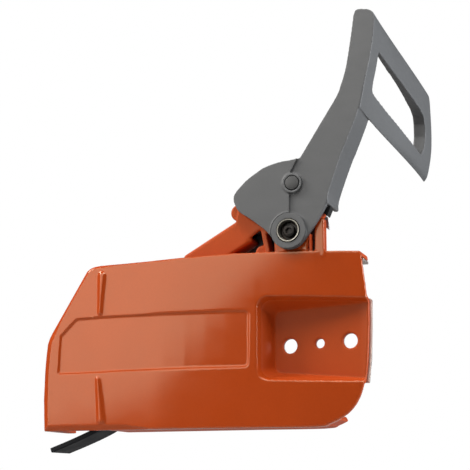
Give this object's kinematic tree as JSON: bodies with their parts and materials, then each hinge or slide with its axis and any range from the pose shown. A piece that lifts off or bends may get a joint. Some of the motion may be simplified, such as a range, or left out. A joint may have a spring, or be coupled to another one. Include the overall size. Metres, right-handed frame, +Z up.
{
  "type": "chainsaw clutch cover with chain brake and hand guard",
  "caption": "Side cover for a chainsaw's clutch and bar, with a band chain brake inside, a toggle linkage and a tilting front hand guard.",
  "frame": {"origin": "midway between the two bar-stud holes, on the face of the steel plate that clamps the guide bar", "axes": "+X to the front of the saw along the guide bar, +Y towards the engine (the outer face looks to -Y), +Z up towards the hand guard"},
  "size_m": [0.2162, 0.1773, 0.2637],
  "materials": {
    "cover_orange": "glossy moulded nylon, slightly textured",
    "guard_grey": "fine moulded grain",
    "rubber_grey": "smooth grey rubber",
    "rubber_black": "matt",
    "plastic_black": "fine grain",
    "nylon_pale": "smooth, unfilled nylon",
    "plate_steel": "rolled sheet",
    "band_steel": "hardened strip",
    "pin_steel": "ground",
    "link_steel": "stamped, lightly plated",
    "spring_steel": "drawn, oiled",
    "steel_dark": "black oxide",
    "screw_zinc": "bright zinc",
    "bushing_steel": "turned"
  },
  "bodies": {
    "cover": {"clutch_cover": "cover_orange", "bar_side_plate": "plate_steel", "side_plate_rivet_1": "plate_steel", "side_plate_rivet_2": "plate_steel", "side_plate_rivet_3": "plate_steel", "side_plate_rivet_4": "plate_steel", "wear_strip": "nylon_pale", "wear_strip_screw_1": "screw_zinc", "wear_strip_screw_2": "screw_zinc", "guide_strip": "plate_steel", "guide_strip_screw_1": "screw_zinc", "guide_strip_screw_2": "screw_zinc", "chip_deflector": "rubber_grey", "deflector_clamp": "plate_steel", "deflector_screw_1": "screw_zinc", "deflector_screw_2": "screw_zinc", "brake_band": "band_steel", "band_anchor_pin": "pin_steel", "spring_seat": "plate_steel", "brake_spring": "spring_steel", "knee_fixed_pin": "pin_steel", "mechanism_cover": "plastic_black", "mechanism_screw_1": "screw_zinc", "mechanism_screw_2": "screw_zinc", "mechanism_screw_3": "screw_zinc", "detent_spring": "spring_steel", "detent_screw": "screw_zinc", "guard_bushing": "bushing_steel", "pivot_washer": "plate_steel", "guard_pivot_screw": "steel_dark"},
    "guard": {"hand_guard": "guard_grey", "guard_drive_pin": "pin_steel", "drive_pin_clip": "spring_steel", "guard_buffer": "rubber_black"},
    "crank": {"knee_crank": "link_steel", "knee_mid_pin": "pin_steel"},
    "link": {"knee_link": "link_steel"},
    "rod": {"pull_rod": "pin_steel", "spring_collar": "steel_dark", "rod_pin": "pin_steel", "band_hook_pin": "pin_steel"}
  },
  "joints": [
    {"name": "guard_tilt", "type": "hinge", "parent": "cover", "child": "guard", "pos_m": [-0.0142, 0, 0.0662], "axis": [0, 1, 0], "range_deg": [0, 20]},
    {"name": "knee_crank_turn", "type": "hinge", "parent": "cover", "child": "crank", "pos_m": [-0.01541, -0.0065, 0.08499], "axis": [0, 1, 0], "range_deg": [0, 40.5]},
    {"name": "knee_link_turn", "type": "hinge", "parent": "crank", "child": "link", "pos_m": [-0.02637, -0.0065, 0.078], "axis": [0, 1, 0], "range_deg": [-81, 0]},
    {"name": "rod_pull", "type": "slide", "parent": "cover", "child": "rod", "axis": [0.8704, 0, 0.4924], "range_m": [0, 0.0054], "deforming": ["brake_spring", "brake_band"]}
  ],
  "couplings": [
    {"joint": "knee_crank_turn", "follows": "guard_tilt", "ratio": 2.02},
    {"joint": "knee_link_turn", "follows": "guard_tilt", "ratio": -4.04},
    {"joint": "rod_pull", "follows": "guard_tilt", "m_per_rad": 0.01519}
  ]
}
